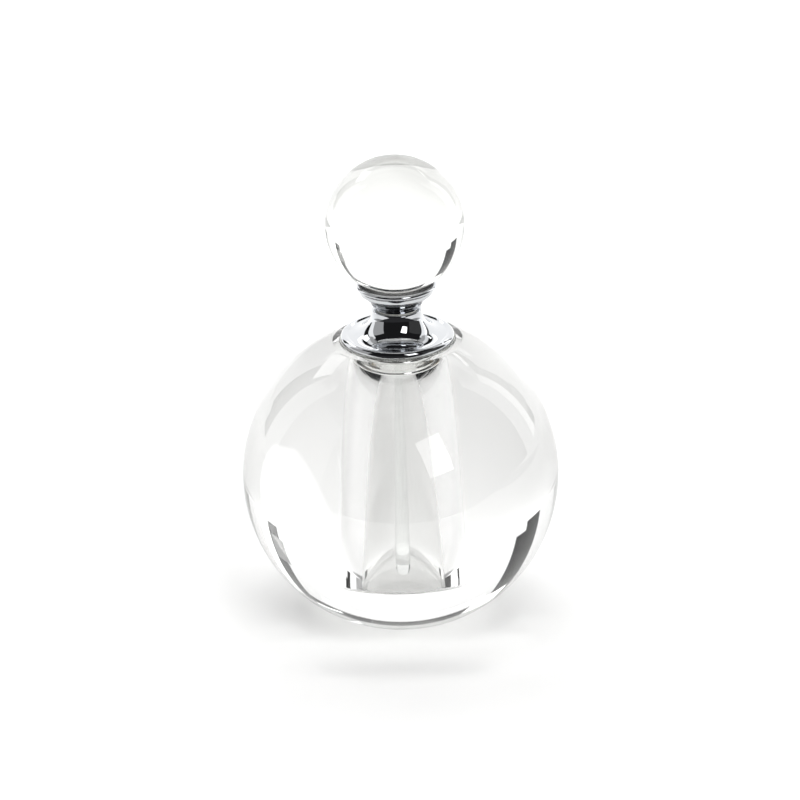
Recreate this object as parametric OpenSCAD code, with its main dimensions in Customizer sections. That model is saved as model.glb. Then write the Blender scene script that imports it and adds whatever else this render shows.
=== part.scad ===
// Round crystal perfume bottle with a ball stopper and a glass dauber.
// The origin is the centre of the polished base, +Z is up, and the units are millimetres.

/* [Crystal body] */
// Diameter of the solid crystal ball that the bottle is cut from
body_d = 80; // [76:1:90]
// Diameter of the flat polished base
base_flat_d = 30; // [24:1:34]
// Diameter of the flat polished seat on top, under the collar
top_flat_d = 32.7; // [31:0.1:36]
// Diameter of the well drilled for the perfume
well_d = 20; // [20:0.1:21]
// Height of the well's floor above the base
well_floor_h = 17.4; // [12:0.1:24]
// Width of the fine bevel on the crystal's cut edges
arris = 0.3; // [0.1:0.1:0.5]

/* [Neck] */
// Outside diameter of the clear liner in the well's mouth
liner_d = 19.9; // [19.6:0.1:19.9]
// Wall thickness of the liner
liner_wall = 1.2; // [0.8:0.1:1.4]
// Length of the liner, down from the seat
liner_l = 9; // [7:0.1:12]
// Thickness of the clear gasket under the flange
gasket_t = 0.5; // [0.3:0.1:0.8]
// Outside diameter of the gasket
gasket_d = 29.4; // [28.8:0.1:30.8]

/* [Collar] */
// Diameter of the collar's flange
flange_d = 28.6; // [28:0.1:30]
// Height of the collar above the gasket
collar_h = 8; // [7.6:0.1:8.4]
// Outside diameter at the top of the trumpet
throat_d = 12.5; // [12.2:0.1:13]
// Diameter of the bore that the stopper's plug seals in
bore_d = 9.6; // [9:0.1:9.8]
// Length of the spigot below the flange
spigot_l = 4.5; // [3:0.1:5]

/* [Stopper] */
// Diameter of the crystal ball on the stopper
finial_d = 35; // [34:0.5:36]
// Height of the metal cup, from the washer to the top of its rim
cup_h = 6.4; // [6.2:0.1:6.8]
// Diameter of the cup's rim
cup_d = 20.2; // [19.8:0.1:20.6]
// Thickness of the washer between the cup and the collar
washer_t = 0.4; // [0.3:0.1:0.6]
// Length of the plug below the washer
plug_l = 11; // [9:0.1:12]

/* [Dauber] */
// Diameter of the glass dauber at its top
dauber_d = 3.9; // [3.5:0.1:4]
// Diameter of the dauber just above its round tip
tip_d = 3.6; // [3:0.1:3.8]
// Gap between the dauber's tip and the well's floor
tip_gap = 1.2; // [1:0.1:4]

/* [Hidden] */
$fn = 96;

// Height of the crystal ball's centre and of its top seat.
body_r = body_d / 2;
centre_h = sqrt(body_r * body_r - base_flat_d * base_flat_d / 4);
seat_h = centre_h + sqrt(body_r * body_r - top_flat_d * top_flat_d / 4);

// Heights of the stacked parts above the seat.
flange_h = seat_h + gasket_t;
throat_h = flange_h + collar_h;
cup_base_h = throat_h + washer_t;

// Gaps that cement fills, that a part slides in, and that a lead-in needs.
bond_gap = 0.05;
slide_gap = 0.05;
lead_in = 0.4;

// Collar: the round rim of the flange and the crease where the trumpet starts.
rim_edge = 0.2;
rim_r = 1.1;
crease_h = 1.25;
flare_r = collar_h - crease_h - lead_in / 2;

// Stopper: the stud under the cup, the ball's ground flat and the bond below it.
stud_d = 5;
stud_l = 5.2;
finial_flat_d = 8;
bond_t = 0.3;
seat_clear = 0.1;
mouth_r = 8;
finial_r = finial_d / 2;
seat_r = finial_r + seat_clear;
finial_drop = sqrt(seat_r * seat_r - mouth_r * mouth_r);
finial_h = cup_base_h + cup_h + finial_drop;
finial_flat_h = finial_h - sqrt(finial_r * finial_r - finial_flat_d * finial_flat_d / 4);

// Plug: its shank, its sealing ribs and the socket that holds the dauber.
shank_d = bore_d - 0.8;
rib_d = bore_d - 2 * slide_gap;
rib_w = 0.9;
rib_step = 2.6;
rib_count = 3;
socket_l = 4.5;
socket_d = dauber_d + 2 * bond_gap;
plug_tip_h = throat_h - plug_l;

// The points of an arc about [x, y], from angle a0 to angle a1.
function arc(x, y, r, a0, a1, steps = 8) =
    [for (i = [0:steps]) let (a = a0 + (a1 - a0) * i / steps) [x + r * cos(a), y + r * sin(a)]];

// A turned ring with square edges.
module ring(d, bore, h) {
    difference() {
        cylinder(d = d, h = h);
        translate([0, 0, -1]) cylinder(d = bore, h = h + 2);
    }
}

// A solid or hollow turned part, from the points of its half section.
module turned(points) {
    rotate_extrude() polygon(points);
}

// A wide cone under z = 0 that bevels the edge between the sphere and a flat that faces up.
module edge_cone(flat_d, depth) {
    slope = asin(flat_d / body_d) / 2;
    inner_d = flat_d - arris;
    translate([0, 0, -depth]) cylinder(d1 = inner_d + 2 * depth / tan(slope), d2 = inner_d, h = depth);
}

// The crystal ball with its base, its seat and its well, and bevels on the cut edges.
module bottle_body() {
    color([0.86, 0.92, 0.94, 0.4])
    difference() {
        intersection() {
            translate([0, 0, centre_h]) sphere(d = body_d);
            translate([0, 0, seat_h]) edge_cone(top_flat_d, body_d);
            mirror([0, 0, 1]) edge_cone(base_flat_d, body_d);
        }
        translate([0, 0, well_floor_h]) cylinder(d = well_d, h = body_d);
        translate([0, 0, seat_h - arris])
            cylinder(d1 = well_d, d2 = well_d + 4 * arris, h = 2 * arris);
    }
}

// Clear sleeve cemented into the well's mouth. The collar's spigot fits inside it.
module neck_liner() {
    outer = liner_d / 2;
    inner = outer - liner_wall;
    color([0.93, 0.94, 0.9, 0.5])
    translate([0, 0, seat_h])
    turned([[inner, -liner_l + lead_in], [inner + lead_in, -liner_l], [outer - lead_in, -liner_l],
            [outer, -liner_l + lead_in], [outer, 0], [inner, 0]]);
}

// Clear washer that beds the flange on the crystal.
module collar_gasket() {
    color([0.9, 0.92, 0.88, 0.6])
    translate([0, 0, seat_h]) ring(gasket_d, well_d + 4 * arris, gasket_t);
}

// Turned and chromed collar: a flange, a trumpet and a spigot, bored through for the plug.
module neck_collar() {
    spigot_r = liner_d / 2 - liner_wall - bond_gap;
    bore_r = bore_d / 2;
    flange_r = flange_d / 2;
    throat_r = throat_d / 2;
    lip_r = lead_in / 2;
    color([0.78, 0.79, 0.81])
    translate([0, 0, flange_h])
    turned(concat(
        [[bore_r, -spigot_l], [spigot_r - lead_in, -spigot_l], [spigot_r, -spigot_l + lead_in],
         [spigot_r, 0], [flange_r - rim_edge, 0]],
        arc(flange_r - rim_edge, rim_edge, rim_edge, -90, 0, 3),
        arc(flange_r - rim_r, crease_h + 0.25 - rim_r, rim_r, 20, 110),
        [[throat_r + flare_r + 0.3, crease_h + 0.02]],
        arc(throat_r + flare_r, crease_h + flare_r, flare_r, 270, 180, 16),
        arc(throat_r - lip_r, collar_h - lip_r, lip_r, 0, 90, 4),
        [[bore_r + lead_in, collar_h], [bore_r, collar_h - lead_in]]));
}

// Soft washer that the cup closes on. It rides up with the stopper.
module seal_washer() {
    color([0.88, 0.88, 0.84])
    translate([0, 0, throat_h]) ring(throat_d - 1.8, shank_d + 2 * slide_gap, washer_t);
}

// Half section of the cup's outside, up from its bowl to its lower ring and its rim.
function cup_outline() = concat(
    arc(5.5, 0.4, 0.4, -80, -35, 3),
    [[6.2, 0.75], [6.7, 1.35], [7.1, 2], [7.45, 2.75], [7.7, 3.6], [7.75, 3.85], [8.8, 3.85]],
    arc(8.9, 4.2, 0.35, -75, 0, 4),
    [[9.25, 4.85], [9.15, 4.95], [9.15, 5.1], [9.5, 5.15]],
    arc(cup_d / 2 - 0.6, 5.8, 0.6, -70, 70, 10),
    [[cup_d / 2 - 0.65, cup_h]]);

// Chromed cup with a hollow seat for the ball and a stud that the plug is pressed on.
module stopper_cup() {
    floor_h = finial_flat_h - bond_t - cup_base_h;
    color([0.78, 0.79, 0.81])
    translate([0, 0, cup_base_h])
    difference() {
        union() {
            turned(concat([[0, 0], [5.45, 0]], cup_outline(), [[0, cup_h]]));
            translate([0, 0, -stud_l]) cylinder(d = stud_d, h = stud_l + 1);
        }
        intersection() {
            translate([0, 0, finial_h - cup_base_h]) sphere(r = seat_r);
            translate([0, 0, floor_h]) cylinder(d = cup_d, h = cup_h);
        }
        translate([0, 0, floor_h]) cylinder(d = finial_flat_d + 0.4, h = bond_t + 0.3);
    }
}

// Clear cement between the ball's ground flat and the floor of the cup.
module finial_bond() {
    color([0.95, 0.95, 0.9, 0.6])
    translate([0, 0, finial_flat_h - bond_t]) cylinder(d = finial_flat_d - 0.4, h = bond_t);
}

// The crystal ball, ground flat where it is cemented down.
module ball_finial() {
    color([0.86, 0.92, 0.94, 0.4])
    intersection() {
        translate([0, 0, finial_h]) sphere(d = finial_d);
        translate([0, 0, finial_flat_h]) cylinder(d = finial_d + 1, h = finial_d);
    }
}

// Moulded plug with sealing ribs. It is pressed on the cup's stud and holds the dauber.
module stopper_plug() {
    color([0.95, 0.95, 0.92])
    difference() {
        union() {
            translate([0, 0, plug_tip_h + lead_in]) cylinder(d = shank_d, h = cup_base_h - plug_tip_h - lead_in);
            translate([0, 0, plug_tip_h])
                cylinder(d1 = shank_d - 2 * lead_in, d2 = shank_d, h = lead_in);
            for (i = [0:rib_count - 1])
                translate([0, 0, throat_h - 1.6 - rib_w - i * rib_step]) cylinder(d = rib_d, h = rib_w);
        }
        translate([0, 0, cup_base_h - stud_l - 0.3]) cylinder(d = stud_d, h = stud_l + 1);
        translate([0, 0, plug_tip_h - 1]) cylinder(d = socket_d, h = socket_l + 1);
    }
}

// Solid glass rod, slightly tapered, with a fire-polished tip near the well's floor.
module dauber_rod() {
    tip_r = tip_d / 2;
    tip_h = well_floor_h + tip_gap;
    top_h = plug_tip_h + socket_l;
    color([0.86, 0.92, 0.94, 0.5])
    turned(concat([[0, tip_h]], arc(tip_r - 1.2, tip_h + 1.2, 1.2, -90, 0, 6),
                  [[dauber_d / 2, plug_tip_h - 6], [dauber_d / 2, top_h], [0, top_h]]));
}

bottle_body();
neck_liner();
collar_gasket();
neck_collar();
seal_washer();
stopper_cup();
finial_bond();
ball_finial();
stopper_plug();
dauber_rod();
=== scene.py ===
"""A round crystal perfume bottle with a flared chromed collar, and a ball stopper with a glass dauber."""

import math

import bpy
from mathutils import Matrix, Vector


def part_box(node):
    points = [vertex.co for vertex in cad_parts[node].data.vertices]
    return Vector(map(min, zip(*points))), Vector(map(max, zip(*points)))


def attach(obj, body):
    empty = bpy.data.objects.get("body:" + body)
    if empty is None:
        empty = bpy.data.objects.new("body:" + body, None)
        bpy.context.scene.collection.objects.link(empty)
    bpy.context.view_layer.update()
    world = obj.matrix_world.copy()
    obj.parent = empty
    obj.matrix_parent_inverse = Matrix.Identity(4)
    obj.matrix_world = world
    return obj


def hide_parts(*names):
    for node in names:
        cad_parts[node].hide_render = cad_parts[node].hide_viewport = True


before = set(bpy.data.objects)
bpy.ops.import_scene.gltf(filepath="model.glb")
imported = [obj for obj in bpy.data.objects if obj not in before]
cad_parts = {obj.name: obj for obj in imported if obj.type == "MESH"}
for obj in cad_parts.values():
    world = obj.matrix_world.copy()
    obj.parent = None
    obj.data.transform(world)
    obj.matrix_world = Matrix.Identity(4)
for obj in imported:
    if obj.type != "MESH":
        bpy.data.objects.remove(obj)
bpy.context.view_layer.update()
bpy.ops.object.select_all(action="DESELECT")


# --- Crystal body ---------------------------------------------------------------------------------
# A solid ball of clear crystal. The base and the seat for the collar are ground flat and polished. A
# straight well is drilled down the axis and polished, and each cut edge has a fine bevel against chips.

MM = 0.001
CRYSTAL_IOR = 1.52
LINER_IOR = 1.49
BODY_SEGMENTS = 224
BODY_RINGS = 144
ARRIS = 0.15 * MM
HAIR = 0.02 * MM
POLISH_DEPTH = 0.05 * MM
SMUDGE_DULLS = 0.03

base_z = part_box("bottle_body")[0].z
seat_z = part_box("bottle_body")[1].z
body_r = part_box("bottle_body")[1].x
base_flat_r = 15 * MM
centre_z = math.sqrt(body_r**2 - base_flat_r**2)
seat_flat_r = math.sqrt(body_r**2 - (seat_z - centre_z) ** 2)
well_r = 10 * MM
well_floor_z = 17.4 * MM
well_fillet = 0.8 * MM
liner_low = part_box("neck_liner")[0].z


def select_where(piece, mode, test):
    """Selects, in edit mode, the vertices, edges or faces whose centre passes the test."""
    bpy.ops.object.mode_set(mode="EDIT")
    bpy.ops.mesh.select_mode(type=mode)
    bpy.ops.mesh.select_all(action="DESELECT")
    bpy.ops.object.mode_set(mode="OBJECT")
    mesh = piece.data
    parts = mesh.edges if mode == "EDGE" else mesh.polygons
    for part in parts:
        if mode == "EDGE":
            centre = (mesh.vertices[part.vertices[0]].co + mesh.vertices[part.vertices[1]].co) / 2
        else:
            centre = part.center
        part.select = bool(test(centre, part))
    bpy.ops.object.mode_set(mode="EDIT")


def cut_flat(piece, height, keep_below):
    """Grinds a flat at a height: the mesh on one side goes, and the cut is closed."""
    bpy.ops.object.mode_set(mode="EDIT")
    bpy.ops.mesh.select_all(action="SELECT")
    bpy.ops.mesh.bisect(
        plane_co=(0, 0, height), plane_no=(0, 0, 1), use_fill=True,
        clear_inner=not keep_below, clear_outer=keep_below,
    )
    bpy.ops.object.mode_set(mode="OBJECT")


def finish_mesh(piece, angle):
    """Puts the piece's place in its mesh and shades it smooth, with edges over an angle left sharp."""
    bpy.ops.object.mode_set(mode="OBJECT")
    bpy.ops.object.select_all(action="DESELECT")
    piece.select_set(True)
    bpy.context.view_layer.objects.active = piece
    bpy.ops.object.transform_apply(location=True, rotation=True, scale=True)
    bpy.ops.object.shade_smooth_by_angle(angle=math.radians(angle))
    bpy.ops.object.select_all(action="DESELECT")


def named_new(name):
    """The object that an operator has just added, under its own name."""
    piece = bpy.context.object
    piece.name = piece.data.name = name
    return piece


def stand_for(piece, node, body):
    """The piece is shown in place of a CAD node and moves with its body."""
    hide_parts(node)
    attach(piece, body)


def paint(piece, other, test):
    """Gives the faces that pass the test the piece's next material."""
    piece.data.materials.append(other)
    for face in piece.data.polygons:
        if test(face):
            face.material_index = len(piece.data.materials) - 1


def radius_of(point):
    return math.hypot(point.x, point.y)


def is_ring(height, radius):
    """A test for the edges of one circle about the axis."""
    return lambda centre, edge: (
        abs(centre.z - height) < HAIR and abs(radius_of(centre) - radius) < 0.15 * MM
    )


bpy.ops.mesh.primitive_uv_sphere_add(
    segments=BODY_SEGMENTS, ring_count=BODY_RINGS, radius=body_r, location=(0, 0, centre_z)
)
body = named_new("crystal_body")
bpy.ops.object.transform_apply(location=True)
cut_flat(body, seat_z, keep_below=True)
cut_flat(body, base_z, keep_below=False)

# The well is an inset of the seat, sunk to its floor. A ring of edges marks where the liner's cement ends.
select_where(body, "FACE", lambda c, f: f.normal.z > 0.999 and c.z > seat_z - 0.01 * MM)
bpy.ops.mesh.inset(thickness=seat_flat_r - well_r, depth=0)
bpy.ops.mesh.extrude_region_move(TRANSFORM_OT_translate={"value": (0, 0, liner_low - seat_z)})
bpy.ops.mesh.extrude_region_move(TRANSFORM_OT_translate={"value": (0, 0, well_floor_z - liner_low)})
bpy.ops.object.mode_set(mode="OBJECT")
for height, radius in ((seat_z, seat_flat_r), (base_z, base_flat_r), (seat_z, well_r)):
    select_where(body, "EDGE", is_ring(height, radius))
    bpy.ops.mesh.bevel(offset=ARRIS, segments=2, affect="EDGES")
    bpy.ops.object.mode_set(mode="OBJECT")
select_where(body, "EDGE", is_ring(well_floor_z, well_r))
bpy.ops.mesh.bevel(offset=well_fillet, segments=6, affect="EDGES")
finish_mesh(body, 9)


def math_node(tree, operation, first, second=0.0, clamp=False):
    """One Math node. Each input is a number or another node's output."""
    node = tree.nodes.new("ShaderNodeMath")
    node.operation = operation
    node.use_clamp = clamp
    for socket, value in zip(node.inputs, (first, second)):
        if isinstance(value, (int, float)):
            socket.default_value = value
        else:
            tree.links.new(value, socket)
    return node.outputs[0]


def noise(tree, vector, scale, detail=3.0):
    """One Noise texture on a vector, as a value of about 0.2 to 0.8."""
    node = tree.nodes.new("ShaderNodeTexNoise")
    node.inputs["Detail"].default_value = detail
    tree.links.new(vector, node.inputs["Vector"])
    if isinstance(scale, (int, float)):
        node.inputs["Scale"].default_value = scale
    else:
        tree.links.new(scale, node.inputs["Scale"])
    return node.outputs[0]


def new_group(name, inputs, outputs):
    """An empty shader node group with float sockets, and its input and output nodes."""
    group = bpy.data.node_groups.new(name, "ShaderNodeTree")
    for label, value in inputs.items():
        group.interface.new_socket(label, in_out="INPUT", socket_type="NodeSocketFloat").default_value = value
    for label in outputs:
        group.interface.new_socket(label, in_out="OUTPUT", socket_type="NodeSocketFloat")
    return group, group.nodes.new("NodeGroupInput").outputs, group.nodes.new("NodeGroupOutput").inputs


# Marks of handling: soft smudges in a few places, and the slight waves that hand polishing leaves.
FINGER_GRAIN = 2400.0
SMUDGE_EDGE = 6.0
handling, given, made = new_group(
    "handling marks", {"Smudge Size": 90, "Cover": 0.4, "Wave Size": 60}, ("Smudge", "Wave")
)
place = handling.nodes.new("ShaderNodeTexCoord").outputs["Object"]
patch = noise(handling, place, given["Smudge Size"], detail=4.0)
level = math_node(handling, "SUBTRACT", patch, math_node(handling, "SUBTRACT", 1.0, given["Cover"]))
fine = noise(handling, place, FINGER_GRAIN, detail=2.0)
edged = math_node(handling, "MULTIPLY", level, SMUDGE_EDGE, clamp=True)
handling.links.new(math_node(handling, "MULTIPLY", edged, fine), made["Smudge"])
handling.links.new(noise(handling, place, given["Wave Size"], detail=1.0), made["Wave"])


def new_material(name, colour, roughness, **sockets):
    """A material with its Principled shader set up. Socket names have _ for a space."""
    material = bpy.data.materials.new(name)
    material.use_nodes = True
    shader = material.node_tree.nodes["Principled BSDF"]
    shader.inputs["Base Color"].default_value = (*colour, 1)
    shader.inputs["Roughness"].default_value = roughness
    for label, value in sockets.items():
        shader.inputs[label.replace("_", " ")].default_value = value
    return material, material.node_tree, shader.inputs


def add_group(tree, group, **values):
    """Places a node group in a material with its own values."""
    node = tree.nodes.new("ShaderNodeGroup")
    node.node_tree = group
    for label, value in values.items():
        node.inputs[label.replace("_", " ")].default_value = value
    return node.outputs


def blend_colours(tree, share, first, second, socket):
    """Feeds a colour socket with two colours mixed by a mask."""
    mix = tree.nodes.new("ShaderNodeMix")
    mix.data_type = "RGBA"
    tree.links.new(share, mix.inputs[0])
    mix.inputs[6].default_value = (*first, 1)
    mix.inputs[7].default_value = (*second, 1)
    tree.links.new(mix.outputs[2], socket)


def add_bump(tree, inputs, height, strength, distance):
    """Feeds the shader's normal with a bump. The distance is in metres."""
    bump = tree.nodes.new("ShaderNodeBump")
    bump.inputs["Strength"].default_value = strength
    bump.inputs["Distance"].default_value = distance
    tree.links.new(height, bump.inputs["Height"])
    tree.links.new(bump.outputs["Normal"], inputs["Normal"])


def polished_glass(name, ior, wave_size, wave, colours):
    """Clear glass with hand-polished waves, and with faint smudges in the second colour."""
    material, tree, inputs = new_material(name, colours[0], 0.0, IOR=ior, Transmission_Weight=1.0)
    marks = add_group(tree, handling, Smudge_Size=90.0, Cover=0.38, Wave_Size=wave_size)
    blend_colours(tree, marks["Smudge"], *colours, inputs["Base Color"])
    tree.links.new(math_node(tree, "MULTIPLY", marks["Smudge"], SMUDGE_DULLS), inputs["Roughness"])
    add_bump(tree, inputs, marks["Wave"], wave, POLISH_DEPTH)
    return material


# Thick crystal takes a little of the light at each face that it passes.
THICK_CRYSTAL = ((0.85, 0.851, 0.845), (0.832, 0.834, 0.826))
crystal = polished_glass("polished crystal", CRYSTAL_IOR, 60.0, 0.06, THICK_CRYSTAL)
wetted = polished_glass("crystal under cement", CRYSTAL_IOR / LINER_IOR, 60.0, 0.06, THICK_CRYSTAL)
body.data.materials.append(crystal)
paint(body, wetted, lambda f: abs(radius_of(f.center) - well_r) < HAIR and f.center.z > liner_low)
stand_for(body, "bottle_body", "bottle")


# --- Neck liner -----------------------------------------------------------------------------------
# A clear moulded sleeve in the well's mouth. Clear cement fills the fine gap round it, so the crystal
# shows no wall there, and near the sleeve's lower edge some of the cement has turned brown.

TURNED_STEPS = 192
LEAD_IN = 0.4
CEMENT_BROWN = (0.2, 0.145, 0.075)


def arc(x, z, r, start, end, steps):
    """The points of an arc about (x, z), with angles in degrees."""
    points = []
    for i in range(steps + 1):
        a = math.radians(start + (end - start) * i / steps)
        points.append((x + r * math.cos(a), z + r * math.sin(a)))
    return points


def turned(name, outline, low, closed=True):
    """A part turned about the axis: one point is drawn out into the half section, in mm, and spun round."""
    r, z = outline[0]
    bpy.ops.mesh.primitive_plane_add(size=1 * MM, location=(r * MM, 0, low + z * MM))
    piece = named_new(name)
    bpy.ops.object.transform_apply(location=True)
    bpy.ops.object.mode_set(mode="EDIT")
    bpy.ops.mesh.select_mode(type="VERT")
    bpy.ops.mesh.merge(type="CENTER")
    onward = outline[1:] + outline[:1] if closed else outline[1:]
    for (r0, z0), (r1, z1) in zip(outline, onward):
        step = ((r1 - r0) * MM, 0, (z1 - z0) * MM)
        bpy.ops.mesh.extrude_vertices_move(TRANSFORM_OT_translate={"value": step})
    bpy.ops.mesh.select_all(action="SELECT")
    bpy.ops.mesh.remove_doubles(threshold=0.0005 * MM)
    bpy.ops.mesh.spin(steps=TURNED_STEPS, angle=2 * math.pi, center=(0, 0, 0), axis=(0, 0, 1))
    bpy.ops.mesh.select_all(action="SELECT")
    bpy.ops.mesh.remove_doubles(threshold=0.002 * MM)
    bpy.ops.mesh.normals_make_consistent(inside=False)
    bpy.ops.object.mode_set(mode="OBJECT")
    return piece


liner_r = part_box("neck_liner")[1].x / MM
liner_l = (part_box("neck_liner")[1].z - liner_low) / MM
liner_wall = 1.2
liner_bore = liner_r - liner_wall
liner_clear = 0.02
liner_outline = (
    [(liner_bore, LEAD_IN)]
    + arc(liner_bore + LEAD_IN, LEAD_IN, LEAD_IN, 180, 270, 5)
    + arc(liner_r - LEAD_IN, LEAD_IN, LEAD_IN, -90, 0, 5)
    + [(liner_r, liner_l - liner_clear), (liner_bore, liner_l - liner_clear)]
)
liner = turned("neck_liner_sleeve", liner_outline, liner_low)
finish_mesh(liner, 24)
SLEEVE_CLEAR = ((0.97, 0.975, 0.96), (0.94, 0.945, 0.93))
liner.data.materials.append(polished_glass("clear moulded sleeve", LINER_IOR, 220.0, 0.2, SLEEVE_CLEAR))

# The cement film lies between crystal and sleeve. It bends no light, and old cement in it is brown.
film_fades = 3.2 * MM
film, tree, inputs = new_material("clear cement film", (1, 1, 1), 0.0, IOR=1.0, Transmission_Weight=1.0)
spot = tree.nodes.new("ShaderNodeTexCoord").outputs["Object"]
height = tree.nodes.new("ShaderNodeSeparateXYZ")
tree.links.new(spot, height.inputs[0])
above = math_node(tree, "MULTIPLY", math_node(tree, "SUBTRACT", height.outputs[2], liner_low), 1 / film_fades)
run_out = math_node(tree, "SUBTRACT", noise(tree, spot, 170.0, detail=5.0), above)
patches = math_node(tree, "MULTIPLY", math_node(tree, "SUBTRACT", run_out, 0.36), 9.0, clamp=True)
blend_colours(tree, patches, (0.985, 0.985, 0.97), CEMENT_BROWN, inputs["Base Color"])
paint(
    liner, film,
    lambda f: radius_of(f.center) > (liner_r - 0.06) * MM and f.center.z > liner_low + 0.3 * MM,
)
stand_for(liner, "neck_liner", "bottle")


# --- Collar gasket --------------------------------------------------------------------------------
# A thin ring of clear soft plastic, pressed between the flange and the crystal. Its edge is a little
# uneven where the flange squeezes it, and it has darker streaks.

gasket_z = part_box("collar_gasket")[0].z
gasket_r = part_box("collar_gasket")[1].x / MM
gasket_t = (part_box("collar_gasket")[1].z - gasket_z) / MM
gasket_bore = 10.65
gasket_low_round = 0.16
gasket_high_round = 0.22
CLEAR_OF_FACE = 0.02
gasket_high = gasket_t - CLEAR_OF_FACE
gasket_outline = (
    [(gasket_bore, gasket_high), (gasket_bore, CLEAR_OF_FACE)]
    + arc(gasket_r - gasket_low_round, CLEAR_OF_FACE + gasket_low_round, gasket_low_round, -90, 0, 5)
    + arc(gasket_r - gasket_high_round, gasket_high - gasket_high_round, gasket_high_round, 0, 90, 6)
)
gasket = turned("collar_gasket_ring", gasket_outline, gasket_z)
finish_mesh(gasket, 30)
soft_clear, tree, inputs = new_material(
    "clear soft gasket", (0.9, 0.91, 0.87), 0.1, IOR=1.45, Transmission_Weight=1.0
)
spot = tree.nodes.new("ShaderNodeTexCoord").outputs["Object"]
cloud = noise(tree, spot, 700.0, detail=4.0)
streak = math_node(tree, "MULTIPLY", math_node(tree, "SUBTRACT", cloud, 0.56), 8.0, clamp=True)
blend_colours(tree, streak, (0.93, 0.935, 0.91), (0.36, 0.38, 0.32), inputs["Base Color"])
tree.links.new(math_node(tree, "MULTIPLY", cloud, 0.25), inputs["Roughness"])
add_bump(tree, inputs, cloud, 0.5, 0.05 * MM)
gasket.data.materials.append(soft_clear)
stand_for(gasket, "collar_gasket", "bottle")


# --- Chromed collar -------------------------------------------------------------------------------
# A turned brass collar, polished and chromed: a flange with a rounded rim, a crease, and a trumpet that
# rises to the bore that the stopper's plug fits. Its spigot is cemented into the liner.

flange_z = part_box("collar_gasket")[1].z
collar_top = (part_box("neck_collar")[1].z - flange_z) / MM
spigot_l = (flange_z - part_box("neck_collar")[0].z) / MM
flange_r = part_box("neck_collar")[1].x / MM
bore_r = 4.8
spigot_r = 8.7
throat_r = 6.25
flare_r = 6.55
crease_z = 1.25
rim_round = 1.1
edge_round = 0.2
collar_outline = (
    [(bore_r, -spigot_l), (spigot_r - LEAD_IN, -spigot_l), (spigot_r, -spigot_l + LEAD_IN), (spigot_r, 0)]
    + arc(flange_r - edge_round, edge_round, edge_round, -90, 0, 4)
    + arc(flange_r - rim_round, 0.4, rim_round, 10, 105, 20)
    + arc(throat_r + flare_r, crease_z + flare_r, flare_r, 266, 180, 48)
    + arc(throat_r - edge_round, collar_top - edge_round, edge_round, 0, 90, 6)
    + [(bore_r + LEAD_IN, collar_top), (bore_r, collar_top - LEAD_IN)]
)
collar = turned("chromed_collar", collar_outline, flange_z)
finish_mesh(collar, 12)

# Lathe lines: fine rings round the axis, which follow the section's radius and height.
lathe, given, made = new_group("lathe lines", {"Lines": 9000.0}, ("Line",))
aside = lathe.nodes.new("ShaderNodeSeparateXYZ")
lathe.links.new(lathe.nodes.new("ShaderNodeTexCoord").outputs["Object"], aside.inputs[0])
squares = [math_node(lathe, "POWER", aside.outputs[i], 2.0) for i in (0, 1)]
radius = math_node(lathe, "SQRT", math_node(lathe, "ADD", *squares))
along = math_node(lathe, "ADD", radius, aside.outputs[2])
lines = lathe.nodes.new("ShaderNodeTexNoise")
lines.noise_dimensions = "1D"
lines.inputs["Detail"].default_value = 2.0
lathe.links.new(along, lines.inputs["W"])
lathe.links.new(given["Lines"], lines.inputs["Scale"])
lathe.links.new(lines.outputs[0], made["Line"])

CHROME_BRIGHT = (0.6, 0.612, 0.63)
CHROME_TOUCHED = (0.5, 0.51, 0.53)
chrome, tree, inputs = new_material("bright chrome", CHROME_BRIGHT, 0.015, Metallic=1.0)
marks = add_group(tree, handling, Smudge_Size=260.0, Cover=0.38, Wave_Size=330.0)
ring_marks = add_group(tree, lathe, Lines=5200.0)
blend_colours(tree, marks["Smudge"], CHROME_BRIGHT, CHROME_TOUCHED, inputs["Base Color"])
dull = math_node(tree, "MULTIPLY", marks["Smudge"], 0.06)
tree.links.new(math_node(tree, "ADD", dull, 0.008), inputs["Roughness"])
relief = math_node(tree, "ADD", math_node(tree, "MULTIPLY", ring_marks["Line"], 0.05), marks["Wave"])
add_bump(tree, inputs, relief, 0.3, POLISH_DEPTH)
collar.data.materials.append(chrome)
stand_for(collar, "neck_collar", "bottle")


# --- Seal washer ----------------------------------------------------------------------------------
# A thin soft washer under the cup. It is moulded in off-white plastic and closes on the collar's lip,
# and the metal has printed a faint ring in it.

washer_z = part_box("seal_washer")[0].z
washer_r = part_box("seal_washer")[1].x / MM
washer_t = (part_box("seal_washer")[1].z - washer_z) / MM - CLEAR_OF_FACE
washer_bore = 4.46
washer_outline = (
    [(washer_bore, washer_t), (washer_bore, 0.06), (washer_bore + 0.06, 0), (bore_r + LEAD_IN, 0)]
    + [(bore_r + LEAD_IN + 0.05, 0.03), (washer_r - 0.15, 0.03), (washer_r - 0.1, 0)]
    + arc(washer_r - 0.1, 0.1, 0.1, -60, 0, 4)
    + arc(washer_r - 0.1, washer_t - 0.1, 0.1, 0, 90, 4)
)
washer = turned("seal_washer_ring", washer_outline, washer_z)
finish_mesh(washer, 24)
soft_white, tree, inputs = new_material(
    "soft off-white washer", (0.72, 0.71, 0.66), 0.55, Specular_IOR_Level=0.35
)
spot = tree.nodes.new("ShaderNodeTexCoord").outputs["Object"]
mottle = noise(tree, spot, 900.0, detail=5.0)
blend_colours(tree, mottle, (0.62, 0.61, 0.55), (0.8, 0.79, 0.75), inputs["Base Color"])
tree.links.new(math_node(tree, "MULTIPLY", mottle, 1.1, clamp=True), inputs["Roughness"])
add_bump(tree, inputs, noise(tree, spot, 4000.0), 0.3, 0.02 * MM)
washer.data.materials.append(soft_white)
stand_for(washer, "seal_washer", "washer")


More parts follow.
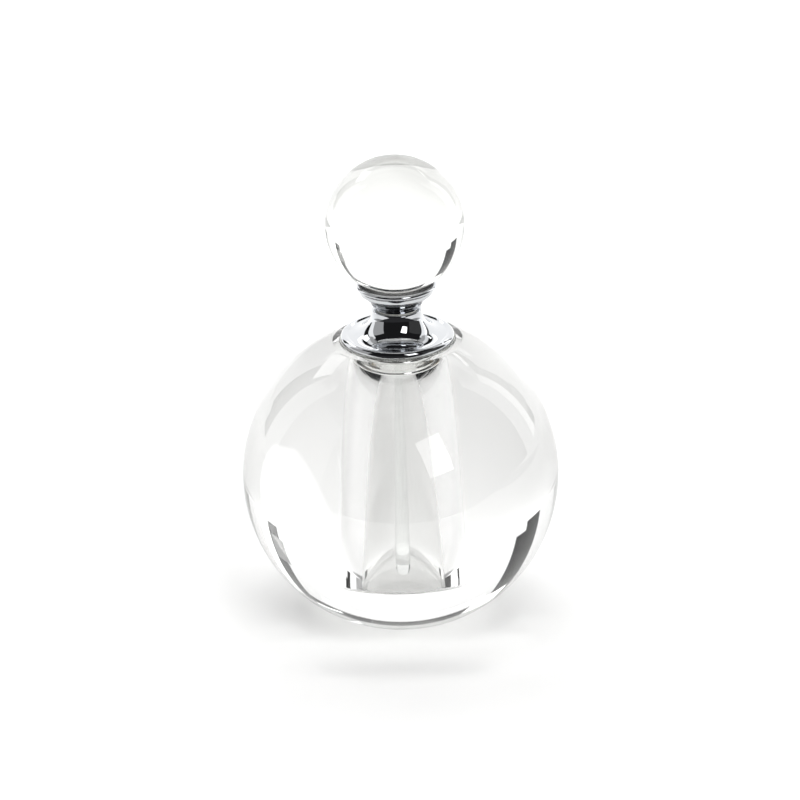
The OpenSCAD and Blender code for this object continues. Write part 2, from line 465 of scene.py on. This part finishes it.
# --- Stopper cup ----------------------------------------------------------------------------------
# A turned and chromed cup. Its bowl closes on the collar, a step above it makes the lower ring, and the
# rim round the ball's seat is rounded over. The plug is pressed on the stud below it.

cup_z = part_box("seal_washer")[1].z
cup_top = (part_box("stopper_cup")[1].z - cup_z) / MM
cup_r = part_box("stopper_cup")[1].x / MM
stud_r = 2.5
stud_l = 5.2
ball_r = 17.5
ball_z = (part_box("ball_finial")[1].z - cup_z) / MM - ball_r
seat_gap = 0.1
seat_ball_r = ball_r + seat_gap
mouth_r = math.sqrt(seat_ball_r**2 - (ball_z - cup_top) ** 2)
recess_r = 4.2
recess_deep = 17.34
recess_z = ball_z - recess_deep
seat_low = math.degrees(math.acos(recess_r / seat_ball_r))
seat_high = math.degrees(math.acos(mouth_r / seat_ball_r))
cup_outline = (
    [(0, -stud_l), (stud_r - 0.3, -stud_l), (stud_r, -stud_l + 0.3), (stud_r, 0), (5.4, 0)]
    + arc(5.5, 0.4, 0.4, -84, -35, 8)
    + [(6.2, 0.75), (6.7, 1.35), (7.1, 2.0), (7.45, 2.75), (7.7, 3.6), (7.75, 3.85), (8.8, 3.85)]
    + arc(8.9, 4.2, 0.35, -80, 0, 8)
    + [(9.25, 4.85), (9.15, 4.95), (9.15, 5.1), (9.5, 5.15)]
    + arc(cup_r - 0.6, 5.8, 0.6, -75, 85, 20)
    + [(cup_r - 0.7, cup_top)]
    + arc(0, ball_z, seat_ball_r, -seat_high, -seat_low, 12)
    + [(recess_r, recess_z), (0, recess_z)]
)
cup = turned("chromed_cup", cup_outline, cup_z, closed=False)
finish_mesh(cup, 12)
cup.data.materials.append(chrome)

# The seat up to the rim is painted near-black as shade under the ball, with grey specks as painted glints.
# It shows as a black line round the ball.
SEAT_REACH = 9.3 * MM
seat_painted_shade, tree, inputs = new_material("painted seat shade", (0.02, 0.02, 0.022), 0.3)
grain = noise(tree, tree.nodes.new("ShaderNodeTexCoord").outputs["Object"], 1800.0, detail=4.0)
painted_glint = math_node(tree, "MULTIPLY", math_node(tree, "SUBTRACT", grain, 0.6), 9.0, clamp=True)
blend_colours(tree, painted_glint, (0.015, 0.015, 0.017), (0.35, 0.35, 0.36), inputs["Base Color"])
tree.links.new(math_node(tree, "MULTIPLY", grain, 0.6), inputs["Roughness"])
add_bump(tree, inputs, grain, 0.4, 0.03 * MM)
seat_floor = cup_z + (recess_z - 0.1) * MM
paint(
    cup, seat_painted_shade,
    lambda f: radius_of(f.center) < SEAT_REACH and f.center.z > seat_floor and f.normal.z > 0,
)
stand_for(cup, "stopper_cup", "stopper")


# --- Finial bond ----------------------------------------------------------------------------------
# The cured drop of clear cement between the ball's ground flat and the cup. Its edge bulges a little
# where it was squeezed out, and it has small bubbles in it.

bond_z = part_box("finial_bond")[0].z
bond_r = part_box("finial_bond")[1].x / MM
bond_t = (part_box("finial_bond")[1].z - bond_z) / MM
bulge = 0.13
bulge_in = 0.1
bond_outline = (
    [(0, CLEAR_OF_FACE), (bond_r - bulge_in, CLEAR_OF_FACE)]
    + arc(bond_r - bulge, bond_t / 2, bulge, -75, 75, 8)
    + [(bond_r - bulge_in, bond_t - CLEAR_OF_FACE), (0, bond_t - CLEAR_OF_FACE)]
)
bond = turned("finial_bond_drop", bond_outline, bond_z, closed=False)
finish_mesh(bond, 30)
CEMENT_CLEAR = (0.9, 0.89, 0.82)
BUBBLE_SIZE = 0.22
cement, tree, inputs = new_material(
    "cured clear cement", CEMENT_CLEAR, 0.08, IOR=1.5, Transmission_Weight=0.9
)
spot = tree.nodes.new("ShaderNodeTexCoord").outputs["Object"]
bubbles = tree.nodes.new("ShaderNodeTexVoronoi")
bubbles.inputs["Scale"].default_value = 1500.0
tree.links.new(spot, bubbles.inputs["Vector"])
bubble = math_node(tree, "LESS_THAN", bubbles.outputs["Distance"], BUBBLE_SIZE)
blend_colours(tree, bubble, CEMENT_CLEAR, (0.97, 0.97, 0.95), inputs["Base Color"])
tree.links.new(math_node(tree, "MULTIPLY", bubble, 0.2), inputs["Roughness"])
add_bump(tree, inputs, bubbles.outputs["Distance"], 0.4, 0.05 * MM)
bond.data.materials.append(cement)
stand_for(bond, "finial_bond", "stopper")


# --- Crystal ball ---------------------------------------------------------------------------------
# A small ball of the same crystal, polished all over. It is ground flat underneath, where it is
# cemented into the cup.

BALL_SEGMENTS = 192
BALL_RINGS = 128
bpy.ops.mesh.primitive_uv_sphere_add(
    segments=BALL_SEGMENTS, ring_count=BALL_RINGS, radius=ball_r * MM, location=(0, 0, cup_z + ball_z * MM)
)
ball = named_new("crystal_ball")
bpy.ops.object.transform_apply(location=True)
ground_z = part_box("ball_finial")[0].z
cut_flat(ball, ground_z, keep_below=False)
ground_r = math.sqrt(ball_r**2 - (ball_z + (cup_z - ground_z) / MM) ** 2)
select_where(ball, "EDGE", is_ring(ground_z, ground_r * MM))
bpy.ops.mesh.bevel(offset=ARRIS, segments=2, affect="EDGES")
finish_mesh(ball, 9)
THIN_CRYSTAL = ((0.9, 0.904, 0.885), (0.885, 0.89, 0.867))
ball.data.materials.append(polished_glass("thin polished crystal", CRYSTAL_IOR, 90.0, 0.05, THIN_CRYSTAL))
ground, tree, inputs = new_material(
    "ground crystal", (0.97, 0.98, 0.97), 0.35, IOR=CRYSTAL_IOR, Transmission_Weight=1.0
)
grit = noise(tree, tree.nodes.new("ShaderNodeTexCoord").outputs["Object"], 9000.0, detail=2.0)
tree.links.new(math_node(tree, "MULTIPLY", grit, 0.7), inputs["Roughness"])
add_bump(tree, inputs, grit, 0.5, 0.01 * MM)
paint(ball, ground, lambda f: f.normal.z < -0.999 and f.center.z < ground_z + 0.01 * MM)
stand_for(ball, "ball_finial", "stopper")


# --- Stopper plug ---------------------------------------------------------------------------------
# A moulded plug of milky plastic. Three sealing ribs grip the collar's bore, the cup's stud is pressed
# into its top, and the dauber is glued into its foot.

plug_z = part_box("stopper_plug")[0].z
plug_top = (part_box("stopper_plug")[1].z - plug_z) / MM
rib_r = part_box("stopper_plug")[1].x / MM
shank_r = bore_r - 0.4
rib_w = 0.9
rib_step = 2.6
rib_below_lip = 1.6
rib_round = 0.2
rib_slope = 0.15
first_rib = (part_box("neck_collar")[1].z - plug_z) / MM - rib_below_lip - rib_w
socket_r = 2.0
socket_l = 4.5
stud_hole_r = stud_r + 0.02
stud_hole_z = plug_top - stud_l - 0.3
ribs = []
for i in (2, 1, 0):
    low = first_rib - i * rib_step
    ribs += [(shank_r, low - rib_slope), (shank_r + rib_slope, low)]
    ribs += arc(rib_r - rib_round, low + rib_round, rib_round, -90, 0, 4)
    ribs += arc(rib_r - rib_round, low + rib_w - rib_round, rib_round, 0, 90, 4)
    ribs += [(shank_r, low + rib_w)]
plug_outline = (
    [(0, socket_l), (socket_r, socket_l), (socket_r, 0.2), (socket_r + 0.2, 0)]
    + arc(shank_r - LEAD_IN, LEAD_IN, LEAD_IN, -90, 0, 5)
    + ribs
    + [(shank_r, plug_top), (stud_hole_r, plug_top), (stud_hole_r, stud_hole_z), (0, stud_hole_z)]
)
plug = turned("stopper_plug_moulding", plug_outline, plug_z, closed=False)
finish_mesh(plug, 24)
milky, tree, inputs = new_material(
    "natural milky plastic", (0.88, 0.88, 0.84), 0.42, IOR=1.5, Transmission_Weight=0.25,
    Subsurface_Weight=0.5, Subsurface_Scale=0.002,
)
spot = tree.nodes.new("ShaderNodeTexCoord").outputs["Object"]
flow = noise(tree, spot, 260.0, detail=5.0)
blend_colours(tree, flow, (0.8, 0.8, 0.75), (0.93, 0.93, 0.9), inputs["Base Color"])
marks = add_group(tree, handling, Smudge_Size=400.0, Cover=0.5, Wave_Size=500.0)
greasy = math_node(tree, "MULTIPLY", marks["Smudge"], 0.2)
tree.links.new(math_node(tree, "ADD", greasy, 0.34), inputs["Roughness"])
add_bump(tree, inputs, noise(tree, spot, 5000.0), 0.2, 0.02 * MM)
plug.data.materials.append(milky)
stand_for(plug, "stopper_plug", "stopper")


# --- Glass dauber ---------------------------------------------------------------------------------
# A clear drawn glass rod, a little thinner towards its fire-polished tip, which carries the perfume.
# Its top is glued into the plug.

rod_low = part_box("dauber_rod")[0].z
rod_high = (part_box("dauber_rod")[1].z - rod_low) / MM
rod_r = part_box("dauber_rod")[1].x / MM
tip_r = 1.8
tip_round = 1.2
taper_end = rod_high - 10.5
rod_bevel = 0.15
rod_outline = (
    [(0, 0)]
    + arc(tip_r - tip_round, tip_round, tip_round, -90, 0, 12)
    + [(rod_r, taper_end), (rod_r, rod_high - rod_bevel), (rod_r - rod_bevel, rod_high), (0, rod_high)]
)
rod = turned("glass_dauber", rod_outline, rod_low, closed=False)
finish_mesh(rod, 20)
ROD_IOR = 1.5
ROD_CLEAR = ((0.985, 0.995, 0.99), (0.96, 0.98, 0.965))
rod.data.materials.append(polished_glass("drawn rod glass", ROD_IOR, 400.0, 0.15, ROD_CLEAR))
stand_for(rod, "dauber_rod", "stopper")


# --- Stage, light and camera ----------------------------------------------------------------------
# A white sweep in a dark studio. A softbox stands in front on the right, white walls stand behind and
# beside, and the dark gaps between them draw the edges of the glass.

WALL_LIGHT = 1.35
DARK_ROOM = 0.015
SHADE_FILL = 0.24
SOFTBOX = (30, 32, 8, -10, 10, -14, 14)

card = bpy.data.node_groups.new("studio card", "ShaderNodeTree")
for name in ("Direction", "Facing", "Across", "Up"):
    card.interface.new_socket(name, in_out="INPUT", socket_type="NodeSocketVector")
for name in ("Left", "Right", "Low", "High", "Soft"):
    card.interface.new_socket(name, in_out="INPUT", socket_type="NodeSocketFloat")
card.interface.new_socket("Mask", in_out="OUTPUT", socket_type="NodeSocketFloat")
card_in = card.nodes.new("NodeGroupInput")
card_out = card.nodes.new("NodeGroupOutput")


def dot(tree, first, second):
    node = tree.nodes.new("ShaderNodeVectorMath")
    node.operation = "DOT_PRODUCT"
    tree.links.new(first, node.inputs[0])
    tree.links.new(second, node.inputs[1])
    return node.outputs["Value"]


direction = card_in.outputs["Direction"]
ahead = dot(card, direction, card_in.outputs["Facing"])
depth = math_node(card, "MAXIMUM", ahead, 0.001)
across = math_node(card, "DIVIDE", dot(card, direction, card_in.outputs["Across"]), depth)
up = math_node(card, "DIVIDE", dot(card, direction, card_in.outputs["Up"]), depth)
mask = math_node(card, "GREATER_THAN", ahead, 0.01)
for over, under in (
    (across, card_in.outputs["Left"]),
    (card_in.outputs["Right"], across),
    (up, card_in.outputs["Low"]),
    (card_in.outputs["High"], up),
):
    inside = math_node(card, "SUBTRACT", over, under)
    ramp = card.nodes.new("ShaderNodeMath")
    ramp.operation = "DIVIDE"
    ramp.use_clamp = True
    card.links.new(inside, ramp.inputs[0])
    card.links.new(card_in.outputs["Soft"], ramp.inputs[1])
    mask = math_node(card, "MULTIPLY", mask, ramp.outputs[0])
card.links.new(mask, card_out.inputs["Mask"])

world = bpy.data.worlds.new("studio")
bpy.context.scene.world = world
world.use_nodes = True
studio = world.node_tree
sky = studio.nodes["Background"]
where = studio.nodes.new("ShaderNodeTexCoord").outputs["Generated"]


def hang_card(seen, azimuth, tilt, roll, left, right, low, high, level, soft=0.01):
    """Lays a flat card over what is seen so far. Its edges are degrees from the line that it faces along."""
    a, t = math.radians(azimuth), math.radians(tilt)
    facing = Vector((math.sin(a) * math.cos(t), -math.cos(a) * math.cos(t), math.sin(t)))
    level_axis = Vector((math.cos(a), math.sin(a), 0))
    up_axis = level_axis.cross(facing) * -1
    r = math.radians(roll)
    node = studio.nodes.new("ShaderNodeGroup")
    node.node_tree = card
    studio.links.new(where, node.inputs["Direction"])
    node.inputs["Facing"].default_value = facing
    node.inputs["Across"].default_value = level_axis * math.cos(r) + up_axis * math.sin(r)
    node.inputs["Up"].default_value = up_axis * math.cos(r) - level_axis * math.sin(r)
    for name, angle in (("Left", left), ("Right", right), ("Low", low), ("High", high)):
        node.inputs[name].default_value = math.tan(math.radians(angle))
    node.inputs["Soft"].default_value = soft
    mix = studio.nodes.new("ShaderNodeMix")
    mix.data_type = "RGBA"
    studio.links.new(node.outputs["Mask"], mix.inputs[0])
    studio.links.new(seen, mix.inputs[6])
    mix.inputs[7].default_value = (level, level, level, 1)
    return mix.outputs[2]


room = studio.nodes.new("ShaderNodeRGB")
room.outputs[0].default_value = (DARK_ROOM, DARK_ROOM, DARK_ROOM * 1.05, 1)
seen = room.outputs[0]
# The walls beside the sweep, the backdrop with a brighter top edge, and two panels that lean over it.
seen = hang_card(seen, 118, 0, 0, -10, 12, -30, 52, WALL_LIGHT)
seen = hang_card(seen, 80, 0, 0, -28, 28, -30, 45, 0.06)
seen = hang_card(seen, -118, 0, 0, -9, 11, -30, 52, WALL_LIGHT)
seen = hang_card(seen, -84, 0, 0, -24, 24, -30, 45, 0.5)
seen = hang_card(seen, 180, 0, 0, -44, 44, -30, 41, WALL_LIGHT)
seen = hang_card(seen, 180, 0, 0, -34, 34, 33, 38, 2.2)
seen = hang_card(seen, 180, 64, 0, -42, 42, -14, 10, 0.5, soft=0.12)
seen = hang_card(seen, 180, 53, 0, -40, 40, -5, 6, 1.1, soft=0.04)
# The gaps in the back corners, with a lamp beside each.
seen = hang_card(seen, -134, 0, 0, -8, 7.5, 3, 44, DARK_ROOM)
seen = hang_card(seen, 134, 0, 0, -4, 4.5, 4, 15, 0.5)
seen = hang_card(seen, 134, 0, 0, -5, 3, 15, 38, 0.16)
seen = hang_card(seen, -140, 38, 0, -8, 8, -6, 7, 3.0)
seen = hang_card(seen, 126, 0, 0, -4, 3.5, -5, 38, 2.4)
seen = hang_card(seen, 143, 40, 0, -6, 6, -1.5, 1.5, 3.0)
seen = hang_card(seen, *SOFTBOX, 3.5)

# What falls on the paper comes from the same places. The softbox and the panel are stronger there, and a
# wide soft lamp hangs straight above, which the glass and the metal aren't shown.
falling = hang_card(seen, *SOFTBOX, 5.0)
falling = hang_card(falling, 0, 84, 0, -34, 34, -34, 34, 1.25, soft=0.2)
falling = hang_card(falling, 180, 52, 0, -40, 40, -9, 14, 2.0, soft=0.1)
lifted = studio.nodes.new("ShaderNodeMix")
lifted.data_type = "RGBA"
lifted.blend_type = "ADD"
lifted.inputs[0].default_value = 1.0
studio.links.new(falling, lifted.inputs[6])
lifted.inputs[7].default_value = (SHADE_FILL, SHADE_FILL, SHADE_FILL, 1)
on_paper = studio.nodes.new("ShaderNodeMix")
on_paper.data_type = "RGBA"
light_path = studio.nodes.new("ShaderNodeLightPath").outputs
direct = math_node(studio, "ADD", light_path["Is Camera Ray"], light_path["Is Glossy Ray"])
direct = math_node(studio, "ADD", direct, light_path["Is Transmission Ray"])
lights_paper = math_node(studio, "SUBTRACT", 1.0, direct, clamp=True)
after_paper = math_node(studio, "GREATER_THAN", light_path["Diffuse Depth"], 0.5)
studio.links.new(math_node(studio, "MAXIMUM", lights_paper, after_paper), on_paper.inputs[0])
studio.links.new(seen, on_paper.inputs[6])
studio.links.new(lifted.outputs[2], on_paper.inputs[7])
studio.links.new(on_paper.outputs[2], sky.inputs["Color"])
sky.inputs["Strength"].default_value = 1.0

# The ground base rests on the paper's fibres, with a hair of air between them, so light gets out of it.
FLOOR_SIZE = 6
UNDER_BASE = -0.05 * MM
bpy.ops.mesh.primitive_plane_add(size=FLOOR_SIZE, location=(0, 0, UNDER_BASE))
floor = named_new("floor")
paper = bpy.data.materials.new("white paper")
paper.use_nodes = True
shader = paper.node_tree.nodes["Principled BSDF"]
shader.inputs["Roughness"].default_value = 0.9
shader.inputs["Specular IOR Level"].default_value = 0.0
# The sheet is 0.9 m wide. A grey bench beside its near part and a dark cloth in front of the object are
# painted reflections: the glass and the metal show them, and the camera sees plain white paper there.
HALF_SHEET = 0.45
BENCH_ENDS = 0.3
CLOTH_FROM = -0.2
PAPER_WHITE = (0.93, 0.93, 0.925, 1)
BENCH_REFLECTION_GREY = (0.3, 0.3, 0.3, 1)
CLOTH_REFLECTION_BLACK = (0.03, 0.03, 0.032, 1)
sheet = paper.node_tree
aside = sheet.nodes.new("ShaderNodeSeparateXYZ")
sheet.links.new(sheet.nodes.new("ShaderNodeTexCoord").outputs["Object"], aside.inputs[0])
off_sheet = math_node(sheet, "GREATER_THAN", math_node(sheet, "ABSOLUTE", aside.outputs[0]), HALF_SHEET)
near_part = math_node(sheet, "LESS_THAN", aside.outputs[1], BENCH_ENDS)
off_sheet = math_node(sheet, "MULTIPLY", off_sheet, near_part)
camera_ray = sheet.nodes.new("ShaderNodeLightPath").outputs["Is Camera Ray"]
unseen = math_node(sheet, "SUBTRACT", 1.0, camera_ray)
bench_reflection = math_node(sheet, "MULTIPLY", off_sheet, unseen)
in_front = math_node(sheet, "LESS_THAN", aside.outputs[1], CLOTH_FROM)
cloth_reflection_mask = math_node(sheet, "MULTIPLY", in_front, unseen)
tone = sheet.nodes.new("ShaderNodeMix")
tone.data_type = "RGBA"
tone.inputs[6].default_value = PAPER_WHITE
tone.inputs[7].default_value = BENCH_REFLECTION_GREY
sheet.links.new(bench_reflection, tone.inputs[0])
cloth_reflection = sheet.nodes.new("ShaderNodeMix")
cloth_reflection.data_type = "RGBA"
cloth_reflection.inputs[7].default_value = CLOTH_REFLECTION_BLACK
sheet.links.new(cloth_reflection_mask, cloth_reflection.inputs[0])
sheet.links.new(tone.outputs[2], cloth_reflection.inputs[6])
sheet.links.new(cloth_reflection.outputs[2], shader.inputs["Base Color"])

# Painted glow for the backdrop lamps' spill on the far part of the sheet, so it brightens towards the back.
SPILL_FROM = 0.06
SPILL_OVER = 0.25
SPILL_LEVEL = 0.4
past = math_node(sheet, "SUBTRACT", aside.outputs[1], SPILL_FROM)
painted_spill = math_node(sheet, "MULTIPLY", past, 1 / SPILL_OVER, clamp=True)
shader.inputs["Emission Color"].default_value = (1, 1, 1, 1)
sheet.links.new(math_node(sheet, "MULTIPLY", painted_spill, SPILL_LEVEL), shader.inputs["Emission Strength"])
floor.data.materials.append(paper)

ELEVATION = math.radians(23.8)
DISTANCE = 1.5
ROLL = math.radians(1.4)
VIEW_WIDTH = 0.2028
AIM_ABOVE = 18.25 * MM
AIM_ACROSS = -0.2 * MM
FILM_WIDTH = 36
cam_data = bpy.data.cameras.new("camera")
camera = bpy.data.objects.new("camera", cam_data)
bpy.context.scene.collection.objects.link(camera)
bpy.context.scene.camera = camera
cam_data.sensor_width = FILM_WIDTH
cam_data.lens = FILM_WIDTH * DISTANCE / VIEW_WIDTH
cam_data.clip_end = 20
body_centre = Vector((0, 0, centre_z))
back = Vector((0, -math.cos(ELEVATION), math.sin(ELEVATION)))
camera.location = body_centre + back * DISTANCE
upright = (-back).to_track_quat("-Z", "Y").to_matrix() @ Matrix.Rotation(-ROLL, 3, "Z")
aim = body_centre + upright @ Vector((AIM_ACROSS, AIM_ABOVE, 0))
look = (aim - camera.location).to_track_quat("-Z", "Y").to_matrix() @ Matrix.Rotation(-ROLL, 3, "Z")
camera.rotation_euler = look.to_euler()

scene = bpy.context.scene
scene.view_settings.view_transform = "Standard"
GLASS_BOUNCES = 24
scene.cycles.max_bounces = GLASS_BOUNCES
scene.cycles.transmission_bounces = GLASS_BOUNCES
scene.cycles.transparent_max_bounces = GLASS_BOUNCES
scene.cycles.glossy_bounces = 12
scene.cycles.blur_glossy = 0.2
scene.cycles.sample_clamp_indirect = 40
